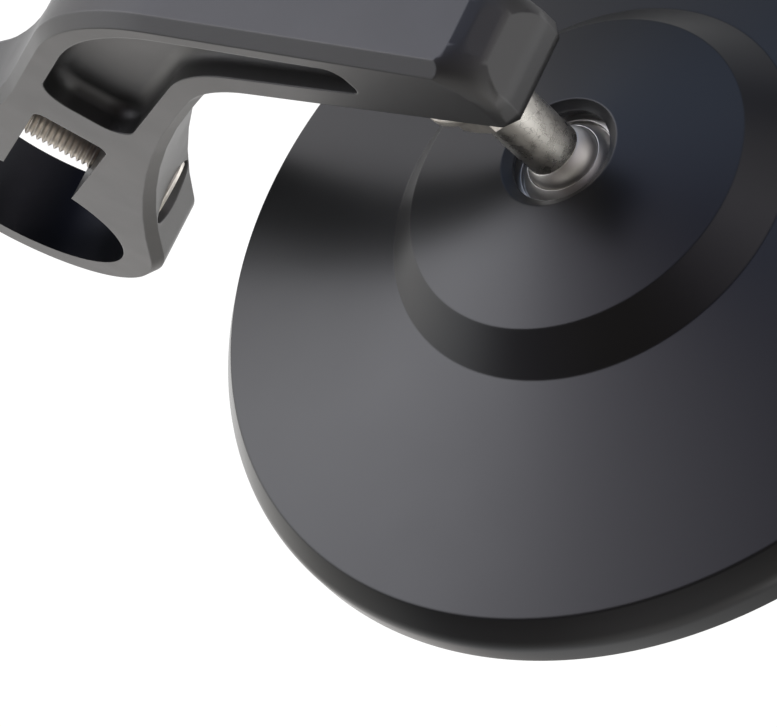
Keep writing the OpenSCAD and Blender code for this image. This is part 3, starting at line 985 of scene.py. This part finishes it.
# %% Copy and clean the arm
arm_source = bmesh.new()
arm_source.from_mesh(frame["nodes"]["arm"].data)
bmesh.ops.remove_doubles(arm_source, verts=arm_source.verts, dist=1e-6)
bmesh.ops.dissolve_limit(
    arm_source, angle_limit=math.radians(0.3), verts=arm_source.verts, edges=arm_source.edges
)
print("arm faces after cleaning:", len(arm_source.faces))

# %% [markdown]
# The pockets are milled with a round-nosed cutter, so a radius fills the foot of each wall. The
# foot edges are easy to find: both ends lie at the floor's height, and one of the two faces is
# the floor itself. A bevel on just those edges makes the radius.

# %% Round the foot of each pocket
pocket_floor_y = 2.5 * MM
pocket_lowest = 30 * MM
cutter_r = 1.9 * MM
foot = [
    e
    for e in arm_source.edges
    if len(e.link_faces) == 2
    and all(
        abs(abs(v.co.y) - pocket_floor_y) < 0.01 * MM and v.co.z > pocket_lowest for v in e.verts
    )
    and sum(abs(f.normal.y) > 0.99 for f in e.link_faces) == 1
]
bmesh.ops.bevel(
    arm_source,
    geom=foot,
    offset=cutter_r,
    offset_type="OFFSET",
    segments=7,
    profile=0.5,
    affect="EDGES",
    clamp_overlap=False,
)
print("pocket foot edges:", len(foot))

# %% Make a new mesh, free of the old normals
arm_source.verts.index_update()
arm_mesh = bpy.data.meshes.new("milled_arm")
arm_mesh.from_pydata(
    [v.co.copy() for v in arm_source.verts],
    [],
    [[v.index for v in f.verts] for f in arm_source.faces],
)
arm_source.free()
arm = bpy.data.objects.new("milled_arm", arm_mesh)
bpy.context.scene.collection.objects.link(arm)
print("arm faces:", len(arm_mesh.polygons))

# %% [markdown]
# ## Nose
# On the real arm the nose is dressed round: its corners run in a soft cone to a round end face.
# A bevel can't do it, because the rounding grows towards the end. A shaping solid made of rounded
# rings does. It stands clear of the arm everywhere else, and the arm keeps what lies inside it.

# %% The nose's rings in mm
nose_x, nose_back_x = -28.5, -12.0
ring_steps = 64
# Each ring: height, reach to the outside, half width, squareness
nose_rings = [
    (107.5, 8.4, 6.7, 10.0),
    (109.3, 7.9, 6.4, 7.0),
    (110.6, 7.35, 6.2, 5.0),
    (111.6, 6.75, 6.08, 3.8),
    (112.5, 6.0, 5.92, 3.0),
    (113.1, 5.4, 5.72, 2.5),
    (113.5, 4.85, 5.45, 2.15),
    (113.75, 4.5, 5.2, 2.05),
    (114.6, 3.6, 4.4, 2.0),
]
clear_low, clear_high = -40.0, 107.4
clear_x, clear_back_x, clear_half = -80.0, 40.0, 20.0


def nose_ring(height, reach, half_width, squareness):
    """Half a superellipse towards the outside, and straight sides towards the mirror."""
    points = [(nose_back_x, half_width, height)]
    for k in range(ring_steps + 1):
        a = math.pi * k / ring_steps
        outwards = reach * abs(math.sin(a)) ** (2 / squareness)
        across = math.copysign(abs(math.cos(a)) ** (2 / squareness), math.cos(a))
        points.append((nose_x - outwards, half_width * across, height))
    points.append((nose_back_x, -half_width, height))
    return points


def clear_ring(height):
    """A wide ring that stays clear of the arm."""
    points = [(clear_back_x, clear_half, height)]
    for k in range(ring_steps + 1):
        points.append((clear_x, clear_half - 2 * clear_half * k / ring_steps, height))
    return points + [(clear_back_x, -clear_half, height)]


shaper_rings = [clear_ring(clear_low), clear_ring(clear_high)]
shaper_rings += [nose_ring(*ring) for ring in nose_rings]
print("shaping rings:", len(shaper_rings))

# %% Shape the nose
shaper_mesh = bmesh.new()
shaper_rows = [[shaper_mesh.verts.new(Vector(p) * MM) for p in ring] for ring in shaper_rings]
for low_row, high_row in zip(shaper_rows, shaper_rows[1:]):
    for k in range(len(low_row)):
        n = (k + 1) % len(low_row)
        shaper_mesh.faces.new((low_row[k], low_row[n], high_row[n], high_row[k]))
shaper_mesh.faces.new(list(reversed(shaper_rows[0])))
shaper_mesh.faces.new(shaper_rows[-1])
bmesh.ops.recalc_face_normals(shaper_mesh, faces=shaper_mesh.faces)
cut(arm, finished("nose_shaper", shaper_mesh, Matrix.Identity(4)), "INTERSECT")
print("arm faces with its nose shaped:", len(arm.data.polygons))

# %% [markdown]
# Smooth shading blends the small faces of the arcs, and edges over 20 degrees stay sharp. The
# large flat faces should keep their own direction right up to the edge. Weighted normals do that,
# because they let the larger face decide. The bore's faces then get their own finish, whose nearly
# black colour is painted shade.

# %% Shade and dress the arm
smooth(arm, 20)
weighted = arm.modifiers.new("weighted", "WEIGHTED_NORMAL")
weighted.keep_sharp = True
weighted.weight = 50
dress(arm, "arm", "arm_body", "black_anodised", blasted, bore_shade)
bore_r = 15.0 * MM
bore_faces = 0
# Faces inside the bore take the second finish, with the painted shade in its colour.
for face in arm.data.polygons:
    middle = Vector((face.center.x, 0, face.center.z))
    inward = -face.normal.dot(middle) / max(middle.length, 1e-9)
    in_bore = abs(middle.length - bore_r) < 0.3 * MM and inward > 0.9
    face.material_index = 1 if in_bore else 0
    bore_faces += in_bore
print("faces in the bore:", bore_faces)

# %% [markdown]
# ## Hidden pieces
# The cup, springs, plug and foam sit inside the housing, out of sight. Finer meshes would cost
# triangles that nobody sees. They keep their own solids and get their true finishes, so they look
# right when the mirror is taken apart.

# %% Finish the hidden pieces
hidden = {
    "rear_cup": nylon,
    "disc_springs": spring_steel,
    "preload_plug": plain_aluminium,
    "bond_pads": foam,
}
for node, finish in hidden.items():
    inner = frame["nodes"][node]
    inner.data.materials.clear()
    inner.data.materials.append(finish.material)
    print(node, "wears", finish.material.name)

# %% [markdown]
# ## Sizes
